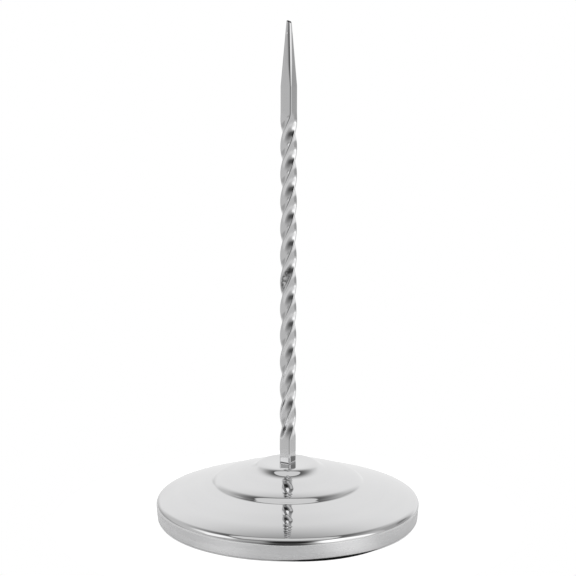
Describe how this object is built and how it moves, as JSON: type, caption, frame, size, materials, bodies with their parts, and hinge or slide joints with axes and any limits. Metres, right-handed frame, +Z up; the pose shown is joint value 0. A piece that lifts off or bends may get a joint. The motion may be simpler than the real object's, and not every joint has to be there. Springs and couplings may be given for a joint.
{
  "type": "receipt spike",
  "caption": "Receipt holder: an upright twisted square steel spike with a blunt ground point on a round, stepped, weighted steel base with a foot pad.",
  "frame": {"origin": "centre of the foot pad's lower face, on the surface that the holder stands on", "axes": "+Z up along the spike, +Y away from the viewer, +X to the viewer's right"},
  "size_m": [0.085, 0.085, 0.16],
  "materials": {
    "base_cover": "mirror polished, faintly brushed around the skirt",
    "spike": "bright drawn bar, polished",
    "ballast": "as cast",
    "fixing": "zinc plated",
    "spring_steel": "oiled spring steel",
    "foot_pad": "matte"
  },
  "bodies": {
    "root": {"base_cover": "base_cover", "spike": "spike", "ballast": "ballast", "flat_washer": "fixing", "lock_washer": "spring_steel", "hex_nut": "fixing", "foot_pad": "foot_pad"}
  },
  "joints": []
}
